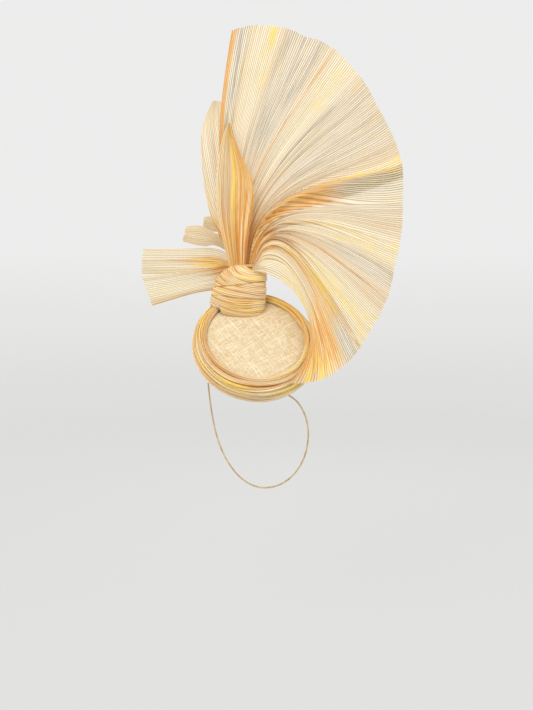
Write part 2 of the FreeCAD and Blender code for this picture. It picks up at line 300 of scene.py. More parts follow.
# %% Blending lines into a surface
def basis(places, count):
    """Weights of a clamped cubic B-spline with that many control points."""
    spans = count - 3
    knots = np.r_[[0.0] * 3, np.arange(spans + 1), [float(spans)] * 3]
    x = np.minimum(np.clip(places, 0.0, 1.0) * spans, spans - 1e-9)[:, None]
    weights = ((x >= knots[:-1]) & (x < knots[1:])).astype(float)
    for degree in (1, 2, 3):
        before = knots[degree:-1] - knots[:-1 - degree]
        after = knots[degree + 1:] - knots[1:-degree]
        rise = (x - knots[:-1 - degree]) / np.where(before > 0, before, 1)
        fall = (knots[degree + 1:] - x) / np.where(after > 0, after, 1)
        rise = np.where(before > 0, rise, 0)
        fall = np.where(after > 0, fall, 0)
        weights = rise * weights[:, :-1] + fall * weights[:, 1:]
    return weights


class Surface:
    """A smooth surface over a grid of control points, across by along."""

    def __init__(self, poles):
        self.poles = np.array(poles, float)

    def at(self, across, along):
        """Points for places across and along, both 0 to 1."""
        across, along = np.broadcast_arrays(across, along)
        side = basis(across.ravel(), self.poles.shape[0])
        run = basis(along.ravel(), self.poles.shape[1])
        return np.einsum("mi,mj,ijk->mk", side, run, self.poles).reshape(*across.shape, 3)

    def normals(self, across, along):
        """Unit normals, towards the viewer where the cloth runs left to right and up."""
        step = 0.004
        side = self.at(across + step, along) - self.at(across - step, along)
        run = self.at(across, along + step) - self.at(across, along - step)
        normal = np.cross(side, run)
        return normal / np.maximum(np.linalg.norm(normal, axis=-1, keepdims=True), 1e-12)


def rib(start, heading, reach, tip, tip_heading, tip_reach, depths):
    """Four control points of one rib, from millimetres and degrees, in metres."""
    turn = math.radians(heading)
    tip_turn = math.radians(tip_heading)
    near, far = depths
    out = (start[0] + reach * math.cos(turn), near, start[2] + reach * math.sin(turn))
    back = (tip[0] - tip_reach * math.cos(tip_turn), far,
            tip[2] - tip_reach * math.sin(tip_turn))
    return np.array([start, out, back, tip], float) * MM


def through(points):
    """Control points of the smooth line that passes through some points."""
    points = np.array(points, float)
    return np.linalg.solve(basis(np.linspace(0, 1, len(points)), len(points)), points)


def between(left, right, bow, lines=5):
    """Surface between two long edges, in millimetres, bowed towards the viewer."""
    left = through(left) * MM
    right = through(right) * MM
    poles = []
    for share in np.linspace(0, 1, lines):
        lift = np.array([0.0, -bow * MM * math.sin(math.pi * share), 0.0])
        poles.append(left * (1 - share) + right * share + lift)
    return Surface(poles)


# %% Small shaping tools
def swell(value, low, high):
    """0 below low, 1 above high, smooth in between."""
    t = np.clip((value - low) / (high - low), 0, 1)
    return t * t * (3 - 2 * t)


def hump(value, low, high, soft):
    """1 between low and high, with soft shoulders."""
    return swell(value, low - soft, low + soft) * (1 - swell(value, high - soft, high + soft))


WANDER_CELLS = 512


def wander(places, seed, period=1.0):
    """Repeatable soft noise from -1 to 1 along a line."""
    table = np.random.RandomState(seed).uniform(-1, 1, WANDER_CELLS)
    x = np.asarray(places, float) / period
    cell = np.floor(x).astype(int)
    t = x - cell
    t = t * t * (3 - 2 * t)
    return table[cell % WANDER_CELLS] * (1 - t) + table[(cell + 1) % WANDER_CELLS] * t


# %% Cloth mesh from a grid
def grid_mesh(name, points, weave, values, closed=False):
    """A quad mesh from a grid of points, with the map "weave" and named point values."""
    across, along = points.shape[:2]
    index = np.arange(across * along).reshape(across, along)
    if closed:
        index = np.vstack([index, index[:1]])
    a, b, c, d = index[:-1, :-1], index[1:, :-1], index[1:, 1:], index[:-1, 1:]
    faces = np.stack([a, b, c, d], -1).reshape(-1, 4)
    mesh = bpy.data.meshes.new(name)
    mesh.vertices.add(across * along)
    mesh.vertices.foreach_set("co", points.reshape(-1).astype(np.float32))
    mesh.loops.add(faces.size)
    mesh.loops.foreach_set("vertex_index", faces.ravel().astype(np.int32))
    mesh.polygons.add(len(faces))
    mesh.polygons.foreach_set("loop_start", np.arange(0, faces.size, 4, dtype=np.int32))
    mesh.update(calc_edges=True)
    corners = np.stack([weave[:-1, :-1], weave[1:, :-1], weave[1:, 1:], weave[:-1, 1:]], 2)
    layer = mesh.uv_layers.new(name="weave")
    layer.data.foreach_set("uv", corners.reshape(-1).astype(np.float32))
    for key, value in values.items():
        attribute = mesh.attributes.new(key, "FLOAT", "POINT")
        value = np.clip(np.broadcast_to(value, (across, along)), 0, 1)
        attribute.data.foreach_set("value", value.ravel().astype(np.float32))
    mesh.polygons.foreach_set("use_smooth", np.ones(len(faces), dtype=bool))
    mesh.validate()
    return placed(name, mesh)


def dress(piece, finish, node):
    """Give a piece its finish and let it ride on the hat in place of a CAD node."""
    piece.data.materials.append(finish)
    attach(piece, "headpiece")
    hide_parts(node)
    area = sum(face.area for face in piece.data.polygons)
    print(piece.name, "faces", len(piece.data.polygons), "area %.4f m2" % area)


# %% [markdown]
# ## The finish of the cloth
# The cloth is sheer and stiff: cream and champagne ribs, with silver-grey and gold threads
# among them. Where it is gathered, the layers deepen to amber. The map "weave" counts threads
# across and metres along, so every streak follows its rib. Five values painted on the mesh
# say where the cloth is gathered or lies in painted shade, where painted shade fills a groove,
# where the silver threads come to the top, where a painted gilt glint falls, and where plain
# cream threads or a painted highlight show.

# %% Silk abaca
def silk_abaca(name, pale, middle_tint, deep, sheer, through=0.34, crease=0.02):
    """Ribbed sheer cloth, with the colours it has open, half gathered and tightly gathered.

    sheer is how much can be seen through it, through how much light it lets glow in it, and
    crease how dark the painted shade in its grooves is where it lies open.
    """
    f = Finish(name)
    weave = f.add("ShaderNodeUVMap", uv_map="weave").outputs["UV"]

    def painted(key):
        return f.add("ShaderNodeAttribute", attribute_name=key).outputs["Fac"]

    def fibres(across, along, detail=2.0, roughness=0.6):
        """Noise drawn out along the ribs."""
        drawn_out = f.stretched(weave, across, along)
        return f.noise(drawn_out, 1.0, detail, roughness, noise_dimensions="2D")

    gather_and_shade, groove_shade, silver, gilt_glint, cream_and_highlight = map(
        painted, ("gather_and_shade", "groove_shade", "silver", "gilt_glint", "cream_and_highlight"))
    openness = f.scaled(gather_and_shade, -1.0, 1.0)
    streak = fibres(0.8, 9.0, 3.0, 0.65)
    fibre = fibres(0.42, 8.0, 4.0, 0.75)
    thread = fibres(3.1, 60.0)

    # the gap between two ribs, 0 on a rib and 1 midway between two
    across = f.add("ShaderNodeSeparateXYZ", {0: weave}).outputs["X"]
    gap = f.maths("PINGPONG", f.maths("ADD", across, 1000.0), 0.5)
    gap = f.ramp(f.times(gap, 2.0), [(0.45, BLACK), (0.95, WHITE)], "EASE")

    # the body colour, with broad and narrow uneven dye
    depth = f.scaled(f.maths("SUBTRACT", streak, 0.5), 0.75, gather_and_shade)
    tint = f.ramp(depth, [
        (0.00, colour(*pale)),
        (0.12, colour(*pale)),
        (0.45, colour(*middle_tint)),
        (0.80, colour(*deep)),
        (1.00, colour(deep[0] * 0.97, deep[1] * 0.91, deep[2] * 0.76)),
    ])
    shade = f.rise(fibres(0.07, 3.0, roughness=0.55), 0.36, 0.64)
    tint = f.washed(f.times(shade, 0.45), tint, colour(240, 226, 198))
    tone = f.drop(fibres(1.4, 4.0), 0.38, 0.56)
    tint = f.washed(f.times(tone, 0.55), tint, colour(226, 208, 176))

    # silver threads, painted shade in the grooves, painted shade and highlights on the small folds
    # of gathers, plain cream threads with painted highlights
    silver_tint = f.ramp(streak, [
        (0.40, colour(252, 246, 232)),
        (0.52, colour(230, 221, 204)),
        (0.66, colour(176, 168, 152)),
    ])
    tint = f.mix(f.times(silver, 0.9), tint, silver_tint)
    # painted shade: the grooves darken towards deep amber, more where the cloth is gathered
    dark = f.times(groove_shade, f.scaled(gather_and_shade, 0.46, crease, clamp=False))
    tint = f.mix(dark, tint, colour(206, 128, 42))
    # painted shade in the small folds of gathered cloth, and a painted highlight on their crests
    valley_shade = f.times(f.drop(fibre, 0.38, 0.47), f.times(gather_and_shade, 0.75))
    tint = f.mix(valley_shade, tint, colour(236, 156, 58))
    crest = f.times(f.rise(fibre, 0.52, 0.61), f.scaled(gather_and_shade, 0.62, 0.18))
    tint = f.mix(crest, tint, colour(255, 240, 192))
    # plain cream threads, and painted highlights where the value marks a lit fold or ridge
    cream_streak = f.ramp(streak, [(0.30, (0.35, 0.35, 0.35, 1)), (0.52, WHITE)])
    tint = f.mix(f.times(cream_and_highlight, cream_streak), tint, colour(255, 248, 222))

    # lines between the ribs, fine threads, and painted gilt glints
    line = f.scaled(silver, 0.12, 0.88, clamp=False)
    line = f.times(line, f.scaled(gather_and_shade, -0.7, 1.0))
    line_tint = f.mix(silver, colour(198, 166, 112), colour(134, 124, 104))
    tint = f.washed(f.times(gap, line), tint, line_tint)
    tint = f.washed(f.times(thread, 0.18), tint, colour(218, 194, 148))
    # a painted glint in gilt yellow, along the marked places and the fibre noise
    bright = f.rise(f.scaled(gilt_glint, 0.34, fibres(1.1, 17.0), clamp=False), 0.66, 0.82)
    tint = f.mix(f.times(bright, 0.85), tint, colour(255, 226, 92))

    # a soft sheen, a glow from behind, and windows between the threads
    bump = f.bump(f.maths("ADD", thread, f.times(gap, -1.2)), 0.5, 0.0003)
    f.set(Base_Color=tint, Roughness=0.45, Normal=bump, Specular_IOR_Level=0.35)
    f.set(Sheen_Weight=0.2, Sheen_Roughness=0.4)
    glow = f.add("ShaderNodeBsdfTranslucent", {"Color": tint, "Normal": bump}).outputs[0]
    glow_share = f.times(f.scaled(gather_and_shade, -0.85, 1.0), through)
    body = f.add("ShaderNodeMixShader", {0: glow_share, 1: f.shader.outputs[0], 2: glow})
    clear = f.times(f.scaled(gap, 1.0, 0.45, clamp=False), f.times(openness, sheer))
    window = f.add("ShaderNodeBsdfTransparent", {"Color": colour(252, 240, 212)}).outputs[0]
    mixed = f.add("ShaderNodeMixShader", {0: clear, 1: body.outputs[0], 2: window})
    f.links.new(mixed.outputs[0], f.output.inputs["Surface"])
    return f.material


fan_cloth = silk_abaca("fan_cloth", (255, 244, 226), (255, 222, 160), (255, 192, 78), 0.30)
pale_cloth = silk_abaca("pale_cloth", (255, 251, 236), (255, 228, 174), (250, 198, 108), 0.36)
loop_cloth = silk_abaca("loop_cloth", (255, 255, 252), (255, 244, 212), (253, 214, 144), 0.55,
                        through=0.42)
gold_cloth = silk_abaca("gold_cloth", (254, 232, 176), (253, 216, 140), (246, 188, 98), 0.14,
                        through=0.2)
swathe_cloth = silk_abaca("swathe_cloth", (254, 244, 214), (251, 222, 158), (246, 190, 102), 0.0,
                          through=0.03, crease=0.55)
print("cloth finishes", [m.name for m in bpy.data.materials if m.name.endswith("_cloth")])

# %% [markdown]
# ## Crimping
# The same steps turn any smooth surface into crimped cloth. Pleats fold the cloth back on
# itself by sliding its columns sideways and lifting them. The ribs are then counted along
# the cloth as it was before folding, so they stay evenly wide inside a pleat. Soft flutes,
# close gathers near the root and a ragged cut edge come last.

# %% Pleats
FREE_EDGE = 0.42   # where a pleat's fold lies, as a share of its half


def pleat(at, half, rim, root, way, depth, *edge, drift=0.0, fade=1.5, wide=0.22, amber=0.0,
          layered=(0, 0)):
    """Cloth doubled over at a place across, where 0 is the left edge and 1 the right.

    half is half the cloth it takes up, rim and root how far it overlaps at its two ends, way
    is 1 where the right side laps over the left, and depth is its lift in millimetres. edge
    lists what is painted on its free edge, a painted highlight, a painted glint or a painted
    shadow line: value, strength, from and to along. wide is how wide that is, and amber how
    deep the colour is where the layers lie double.
    """
    return {"at": at, "half": half, "rim": rim, "root": root, "way": way, "depth": depth,
            "edge": edge, "drift": drift, "fade": fade, "wide": wide, "amber": amber,
            "layered": layered}


def folded(w, v, pleats):
    """Where each place across goes, how far it lifts, and the painted marks of the pleats.

    The marks on a free edge are painted highlights, glints and shadow lines.
    """
    shift = np.zeros(np.broadcast(w, v).shape)
    lift = np.zeros_like(shift)
    marks = {key: np.zeros_like(shift) for key in ("gather_and_shade", "gilt_glint", "cream_and_highlight")}
    for p in pleats:
        middle = p["at"] + p["drift"] * (1 - v) ** 2
        x = np.clip((w - middle) / p["half"], -1, 1)
        wave = -np.sin(np.pi * x)
        over = p["rim"] + p["root"] * (1 - v) ** p["fade"]
        shift = shift + over * wave
        height = p["way"] * p["depth"] * MM * wave
        lift = lift + height * swell(v, 0.0, 0.25) * (1 - 0.4 * swell(v, 0.6, 1.0))
        # painted highlight, glint or shadow line along the pleat's free edge
        edge = np.exp(-((x - FREE_EDGE * p["way"]) / p["wide"]) ** 2) * (np.abs(x) < 1)
        inside = (np.abs(x) < 0.95) * hump(v, *p["layered"], 0.12)
        marks["gather_and_shade"] = np.maximum(marks["gather_and_shade"], p["amber"] * inside)
        for key, strength, low, high in p["edge"]:
            marks[key] = np.maximum(marks[key], strength * edge * hump(v, low, high, 0.08))
    return shift, lift, marks


# %% Crimped cloth
SAMPLES = 2001          # places where the cloth's width is measured
EVEN_ALONG = 0.85       # how far along the ribs are evenly spaced
RIM_ALONG = 0.95        # how far along the rim's length is measured
ROW_EASE = 1.12         # above 1 the rows lie closer at the root
MAX_RIDGE = 0.8 * MM


def even_places(surface):
    """Places across the surface that are evenly spaced near its far edge."""
    fine = np.linspace(0, 1, 2000)
    edge = surface.at(fine, np.full_like(fine, EVEN_ALONG))
    run = np.r_[0, np.cumsum(np.linalg.norm(np.diff(edge, axis=0), axis=1))]
    return np.interp(np.linspace(0, run[-1], SAMPLES), run, fine)


def width_at(surface, s, reach):
    """How far apart two near ribs are, at places across and along."""
    right = surface.at(np.clip(s + 0.002, 0, 1), reach)
    left = surface.at(np.clip(s - 0.002, 0, 1), reach)
    return np.linalg.norm(right - left, axis=-1)


def crimped(surface, ribs, columns, rows, seed, length, pleats=(), flutes=(), slant=0.0,
            ragged=1.0, root=None):
    """Crimped cloth over a smooth surface: returns its grid, map, values and places."""
    places = even_places(surface)
    fine = np.linspace(0, 1, 4001)
    slide, _, _ = folded(fine, RIM_ALONG, pleats)
    cloth = np.r_[0, np.cumsum(np.abs(np.diff(fine + slide)))]
    count = np.linspace(0, 1, columns)
    w = np.interp(count, cloth / cloth[-1], fine)[:, None]
    v = np.linspace(0, 1, rows)[None, :] ** ROW_EASE
    shift, lift, marks = folded(w, v, pleats)
    at = np.clip(w + shift, 0, 1)
    s = np.interp(at, np.linspace(0, 1, SAMPLES), places)
    number = count[:, None] * ribs
    tatter = 0.0035 * wander(number, seed, 0.9) + 0.005 * wander(number, seed + 1, 9.0)
    reach = v * (1 + ragged * tatter)
    base = surface.at(s, reach)
    normal = surface.normals(s, np.clip(reach, 0.004, 0.996))
    tight = width_at(surface, s, reach) / np.maximum(width_at(surface, s, 1.0), 1e-9)
    tight = np.clip(tight, 0.0, 1.3)
    edge = surface.at(places, RIM_ALONG)
    pitch = np.linalg.norm(np.diff(edge, axis=0), axis=1).sum() / ribs
    phase = 2 * np.pi * (number + slant * ribs * v)
    ridge = np.cos(phase) * (0.75 + 0.25 * wander(number, seed + 2, 1.0))
    lift = lift - ridge * np.minimum(0.26 * pitch * tight, MAX_RIDGE)
    waves = np.zeros_like(lift)
    for turns, height, centre, width in flutes:
        wobble = 2.0 * wander(at * turns, seed + int(turns), 1.0)
        crest = np.cos(2 * np.pi * turns * at + wobble)
        swing = crest * height * np.exp(-((v - centre) / width) ** 2)
        waves = waves + swing * swell(v, -0.02, 0.08)
    lift = lift + waves * MM
    points = base - normal * lift[..., None]
    if root is not None:
        target, until = root
        pull = (1 - swell(v, 0.0, until))[..., None]
        points = points * (1 - pull) + (target(points) * pull)
    weave = np.stack(np.broadcast_arrays(number + slant * ribs * v, v * length), -1)
    # painted shade in the rib valleys and the troughs of the flutes
    groove_shade = 0.45 * (0.5 - 0.5 * ridge) + 0.55 * np.clip(0.45 + 0.35 * waves, 0, 1)
    values = {"groove_shade": groove_shade, "silver": np.zeros_like(lift), **marks}
    return points, weave, values, at, v


def finish_cloth(name, grid, finish, node):
    """Make a crimped grid an object that rides on the hat and replaces its CAD node."""
    piece = grid_mesh(name, *grid[:3])
    dress(piece, finish, node)
    return piece


def paint(values, key, amount):
    """Raise one painted value to an amount, where it is lower."""
    values[key] = np.maximum(values[key], amount)


# %% [markdown]
# ## The big fan
# One wide piece of cloth is gathered into the knot and opens to a fan 0.3 m tall. Its last
# third arches over and sweeps down round the right of the base. A few pleats double it: the
# widest makes the amber band that curves out to the right, and another the crest of the
# swoop, with a painted highlight and gilt glint along it. The silver and cream patches are
# where the light catches one set of threads.

# %% Key ribs of the fan
FAN_RIBS = [
    ((-25, 2, 111), 107, 108, (-29, 45, 429), 81, 106, (6, 22)),
    ((-21, 2, 111), 100, 105, (15, 52, 440), 77, 115, (6, 26)),
    ((-19, 1, 111), 95, 108, (63, 55, 432), 70, 115, (6, 30)),
    ((-17, 1, 111), 94, 112, (121, 58, 400), 58, 108, (6, 34)),
    ((-14, 0, 111), 88, 105, (144, 58, 372), 50, 98, (6, 36)),
    ((-10, -1, 111), 86, 118, (183, 52, 296), 38, 95, (4, 34)),
    ((-7, -2, 111), 85, 112, (197, 46, 264), 30, 96, (2, 30)),
    ((-5, -4, 111), 83, 100, (199, 40, 211), 14, 90, (0, 26)),
    ((-2, -6, 111), 82, 92, (192, 28, 139), -18, 72, (-4, 16)),
    ((0, -9, 111), 78, 90, (174, 10, 68), -38, 60, (-8, 4)),
    ((-1, -12, 111), 74, 105, (137, -18, 8), -46, 50, (-16, -12)),
    ((-4, -16, 109), 54, 90, (103, -38, -25), -74, 50, (-22, -16)),
    ((-7, -18, 106), 28, 72, (74, -52, -36), -100, 62, (-26, -17)),
    ((-11, -20, 103), -4, 66, (43, -64, -36), -131, 85, (-28, -15)),
]
fan_surface = Surface([rib(*row) for row in FAN_RIBS])
print("key ribs", len(FAN_RIBS))

# %% Pleats and patches of the fan
# Along its free edge each pleat paints a highlight (cream), a glint (gilt) or a shadow line
# (gather).
FAN_PLEATS = [
    pleat(0.040, 0.022, 0.010, 0.01, -1, 0.5, ("cream_and_highlight", 0.6, 0.4, 1.1)),
    pleat(0.213, 0.014, 0.003, 0.02, 1, 0.9, ("gather_and_shade", 0.50, 0.0, 0.93)),
    pleat(0.290, 0.014, 0.002, 0.02, 1, 1.0, ("gather_and_shade", 0.50, 0.0, 0.6)),
    pleat(0.500, 0.055, 0.036, 0.10, 1, 2.4, ("cream_and_highlight", 1.0, 0.20, 1.1),
          ("gilt_glint", 0.75, 0.35, 0.95), drift=0.06, wide=0.14, amber=0.55, layered=(-0.2, 0.66)),
    pleat(0.640, 0.018, 0.003, 0.04, 1, 1.1, ("gather_and_shade", 0.5, 0.0, 0.85), drift=0.02),
    pleat(0.755, 0.020, 0.006, 0.04, -1, 0.9, ("gather_and_shade", 0.5, 0.3, 0.95),
          ("cream_and_highlight", 0.7, 0.0, 0.3)),
    pleat(0.868, 0.030, 0.014, 0.05, -1, 0.8, ("gilt_glint", 1.7, 0.34, 0.76),
          ("cream_and_highlight", 1.0, 0.03, 1.0), fade=1.0, wide=0.34),
    pleat(0.950, 0.014, 0.003, 0.02, 1, 1.0, ("gather_and_shade", 0.6, 0.1, 0.9)),
]
# Short tucks near the root, which draw the cloth together, each with a painted highlight along its
# fold: place and way.
TUCKS = [(0.105, 1), (0.160, 1), (0.250, 1), (0.330, -1), (0.385, 1), (0.430, 1), (0.590, 1),
         (0.690, 1), (0.715, -1), (0.800, -1), (0.830, -1), (0.915, 1)]
for place, way in TUCKS:
    FAN_PLEATS.append(pleat(place, 0.012, 0.0, 0.020, way, 0.8, ("cream_and_highlight", 0.9, -0.1, 0.34),
                            fade=2.0, amber=0.75, layered=(-0.2, 0.22)))
# Gilt patches are painted glints, cream patches pale threads with painted highlights, and the
# gather patch beside the crest is painted shade.
# value, strength, from and to across, from and to along, and how soft its sides are
FAN_PATCHES = [
    ("gather_and_shade", 0.55, -0.100, 0.011, 0.35, 1.10, 0.003),
    ("silver", 0.95, 0.013, 0.040, 0.42, 1.10, 0.006),
    ("cream_and_highlight", 0.80, 0.050, 0.105, 0.50, 1.10, 0.010),
    ("gilt_glint", 0.55, 0.075, 0.105, 0.70, 1.10, 0.008),
    ("silver", 0.75, 0.118, 0.200, 0.45, 1.10, 0.012),
    ("cream_and_highlight", 0.85, 0.225, 0.278, 0.40, 1.10, 0.010),
    ("gilt_glint", 0.35, 0.230, 0.275, 0.60, 1.10, 0.010),
    ("silver", 0.95, 0.286, 0.300, 0.40, 0.88, 0.004),
    ("silver", 0.45, 0.300, 0.440, 0.45, 1.10, 0.020),
    ("cream_and_highlight", 0.90, 0.470, 0.488, 0.70, 1.10, 0.004),
    ("gilt_glint", 0.60, 0.470, 0.488, 0.60, 1.10, 0.004),
    ("silver", 0.92, 0.492, 0.535, 0.66, 1.10, 0.006),
    ("cream_and_highlight", 0.45, 0.492, 0.560, 0.70, 1.10, 0.010),
    ("silver", 0.35, 0.535, 0.600, 0.60, 1.10, 0.012),
    ("cream_and_highlight", 0.80, 0.625, 0.683, 0.35, 1.10, 0.010),
    ("gilt_glint", 0.45, 0.640, 0.680, 0.50, 1.00, 0.010),
    ("silver", 0.80, 0.690, 0.730, 0.62, 1.10, 0.010),
    ("gather_and_shade", 0.22, 0.755, 0.830, 0.20, 0.60, 0.020),
    ("cream_and_highlight", 0.80, 0.785, 0.860, 0.45, 1.10, 0.012),
    ("gilt_glint", 0.50, 0.800, 0.860, 0.45, 1.00, 0.010),
    ("silver", 0.95, 0.878, 0.908, 0.78, 1.10, 0.006),
    ("gather_and_shade", 0.44, 0.880, 0.925, 0.12, 0.80, 0.006),
    ("cream_and_highlight", 0.90, 0.935, 1.100, 0.06, 0.58, 0.012),
    ("gilt_glint", 0.45, 0.945, 1.100, 0.25, 0.60, 0.010),
    ("gather_and_shade", 0.60, 0.915, 1.100, 0.58, 0.97, 0.010),
    ("gilt_glint", 0.55, 0.940, 0.990, 0.78, 1.10, 0.008),
]
# Soft waves: how many across, height in millimetres, where along and how long.
FAN_FLUTES = [(7.0, 3.0, 0.70, 0.45), (15.0, 2.4, 0.36, 0.28), (29.0, 1.3, 0.18, 0.20),
              (47.0, 0.6, 0.10, 0.16)]
STEM_MIDDLE = np.array([-12.0, -2.0, 100.0]) * MM


def into_the_knot(points):
    """Where a gathered root goes: down inside the mouth of the knot."""
    return STEM_MIDDLE + (points - STEM_MIDDLE) * np.array([0.75, 0.35, 0.15])


print("pleats and tucks", len(FAN_PLEATS), "patches", len(FAN_PATCHES))


# %% Fan mesh
fan_grid = crimped(fan_surface, ribs=246, columns=1240, rows=78, seed=11, length=0.33,
                   pleats=FAN_PLEATS, flutes=FAN_FLUTES, root=(into_the_knot, 0.11))
values, at, v = fan_grid[2:]
root_amber = 0.9 * (1 - swell(v, 0.04, 0.36)) * (1 - 0.80 * swell(at, 0.86, 0.93))
paint(values, "gather_and_shade", root_amber)
for key, strength, low, high, start, end, soft in FAN_PATCHES:
    paint(values, key, strength * hump(at, low, high, soft) * hump(v, start, end, 0.10))
fan = finish_cloth("big_fan", fan_grid, fan_cloth, "fan_main")

# %% [markdown]
# ## The throat fold and the back lobe
# Two smaller leaves of the same cloth stand beside the fan's root. The one in front is the
# rolled left edge of the cloth, drawn tight, so it is the deepest gold. The one behind is a
# single sheer layer whose ribs run slantwise. Both are surfaces between two edge lines.

# %% Throat fold
THROAT_EDGES = (
    [(-31, -6, 106), (-42, -6, 150), (-48, -5, 192), (-47, -3, 230), (-42, 2, 265),
     (-33, 8, 291)],
    [(-12, -9, 106), (-6, -12, 147), (-1, -11, 185), (-1, -8, 212), (-12, -4, 240),
     (-30, 7, 290)],
)
THROAT_PLEATS = [
    pleat(0.10, 0.06, 0.01, 0.04, 1, 0.7, ("cream_and_highlight", 1.0, 0.0, 1.1)),
    pleat(0.30, 0.05, 0.01, 0.04, 1, 0.6, ("cream_and_highlight", 0.5, 0.0, 0.6)),
    pleat(0.52, 0.05, 0.02, 0.05, -1, 0.9, ("gilt_glint", 1.0, 0.2, 0.9)),
    pleat(0.70, 0.05, 0.01, 0.05, 1, 0.7, ("gather_and_shade", 0.9, 0.0, 0.5)),
    pleat(0.86, 0.05, 0.01, 0.05, 1, 0.7, ("cream_and_highlight", 0.8, 0.0, 0.5)),
]
throat_grid = crimped(between(*THROAT_EDGES, bow=7.0), ribs=40, columns=281, rows=150, seed=31,
                      length=0.19, pleats=THROAT_PLEATS,
                      flutes=[(5.0, 0.8, 0.35, 0.5), (11.0, 0.6, 0.15, 0.4)],
                      ragged=0.2, root=(into_the_knot, 0.16))
values, at, v = throat_grid[2:]
throat_gather = 0.24 + 0.40 * (1 - swell(v, 0.1, 0.6)) + 0.28 * swell(at, 0.5, 0.62)
paint(values, "gather_and_shade", throat_gather)
values["silver"] = 0.5 * hump(at, 0.10, 0.44, 0.06) * hump(v, 0.25, 0.85, 0.1)
# a painted glint along the middle pleat
paint(values, "gilt_glint", 0.75 * hump(at, 0.45, 0.56, 0.03) * hump(v, 0.25, 0.95, 0.1))
paint(values, "cream_and_highlight", 1.0 - swell(at, 0.03, 0.08))
throat = finish_cloth("throat_fold", throat_grid, gold_cloth, "fan_throat_fold")

# %% Back lobe
LOBE_EDGES = (
    [(-26, 10, 108), (-45, 16, 150), (-60, 20, 190), (-68, 26, 245), (-68, 31, 290),
     (-54, 35, 329)],
    [(-12, 10, 108), (-14, 18, 155), (-16, 25, 200), (-20, 31, 245), (-28, 36, 290),
     (-44, 38, 329)],
)
lobe_grid = crimped(between(*LOBE_EDGES, bow=4.0), ribs=20, columns=161, rows=150, seed=41,
                    length=0.23, flutes=[(3.0, 2.0, 0.5, 0.5), (7.0, 1.2, 0.15, 0.25)],
                    slant=0.55, ragged=0.2)
values, at, v = lobe_grid[2:]
values["gather_and_shade"] = 0.10 + 0.5 * (1 - swell(v, 0.1, 0.5)) + 0.22 * (1 - swell(at, 0.02, 0.10))
values["cream_and_highlight"] = 0.5 * hump(at, 0.45, 0.9, 0.1) * hump(v, 0.3, 0.9, 0.1)
lobe = finish_cloth("back_lobe", lobe_grid, pale_cloth, "fan_back_lobe")

# %% [markdown]
# ## Tails and loops
# The ends of the cloth leave the knot to the left as two overlapping tails, and above them
# two short loops are folded back on themselves. A loop is one surface that runs out, turns
# at its tip and comes back a few millimetres behind.

# %% Tails
TAIL_LOW_EDGES = (
    [(-30, 20, 92), (-50, 18, 80), (-70, 12, 76), (-98, 4, 68), (-128, -6, 58)],
    [(-28, 24, 112), (-50, 20, 110), (-72, 15, 106), (-104, 7, 101), (-143, -2, 96)],
)
TAIL_HIGH_EDGES = (
    [(-28, 25, 98), (-50, 25, 96), (-72, 21, 97), (-106, 12, 98), (-143, 1, 98)],
    [(-26, 26, 120), (-46, 26, 133), (-70, 22, 134), (-106, 13, 132), (-141, 4, 131)],
)
tail_low_grid = crimped(between(*TAIL_LOW_EDGES, bow=4.0), ribs=18, columns=145, rows=120,
                        seed=51, length=0.12,
                        flutes=[(2.0, 2.0, 0.7, 0.4), (5.0, 1.4, 0.2, 0.3)],
                        pleats=[pleat(0.08, 0.05, 0.03, 0.03, -1, 1.0, ("gather_and_shade", 0.7, 0.0, 1.0))])
values, at, v = tail_low_grid[2:]
paint(values, "gather_and_shade", 0.6 * (1 - swell(v, 0.1, 0.45)) * swell(at, 0.2, 0.8))
paint(values, "gather_and_shade", 0.85 * (1 - swell(at, 0.0, 0.06)))
values["cream_and_highlight"] = 0.6 * hump(at, 0.25, 0.6, 0.1)
tail_low = finish_cloth("tail_lower", tail_low_grid, pale_cloth, "tail_front")

tail_high_grid = crimped(between(*TAIL_HIGH_EDGES, bow=3.0), ribs=16, columns=129, rows=120,
                         seed=61, length=0.12,
                         flutes=[(2.0, 2.0, 0.6, 0.4), (5.0, 1.4, 0.2, 0.3)],
                         pleats=[pleat(0.55, 0.06, 0.01, 0.05, 1, 1.2, ("gather_and_shade", 0.7, 0.0, 0.8))])
values, at, v = tail_high_grid[2:]
paint(values, "gather_and_shade", 0.62 * (1 - swell(v, 0.25, 0.85)) * hump(at, 0.1, 0.7, 0.1))
# painted gilt glints on the upper tail
values["gilt_glint"] = 0.55 * hump(at, 0.30, 0.62, 0.06) * (1 - swell(v, 0.4, 0.85))
values["cream_and_highlight"] = 0.7 * hump(at, 0.75, 1.1, 0.05)
tail_high = finish_cloth("tail_upper", tail_high_grid, pale_cloth, "tail_back")


# %% Loops
def loop_surface(left, right, bow, gap):
    """A loop that goes out between two edges, turns and comes back behind."""
    sides = []
    for edge in (left, right):
        out = [np.array(p, float) for p in edge]
        turn = out[-1] + np.array([-1.0, gap / 2, 0.0])
        back = [p + np.array([0.0, gap, 0.0]) for p in reversed(out)]
        sides.append(out + [turn] + back)
    return between(sides[0], sides[1], bow)


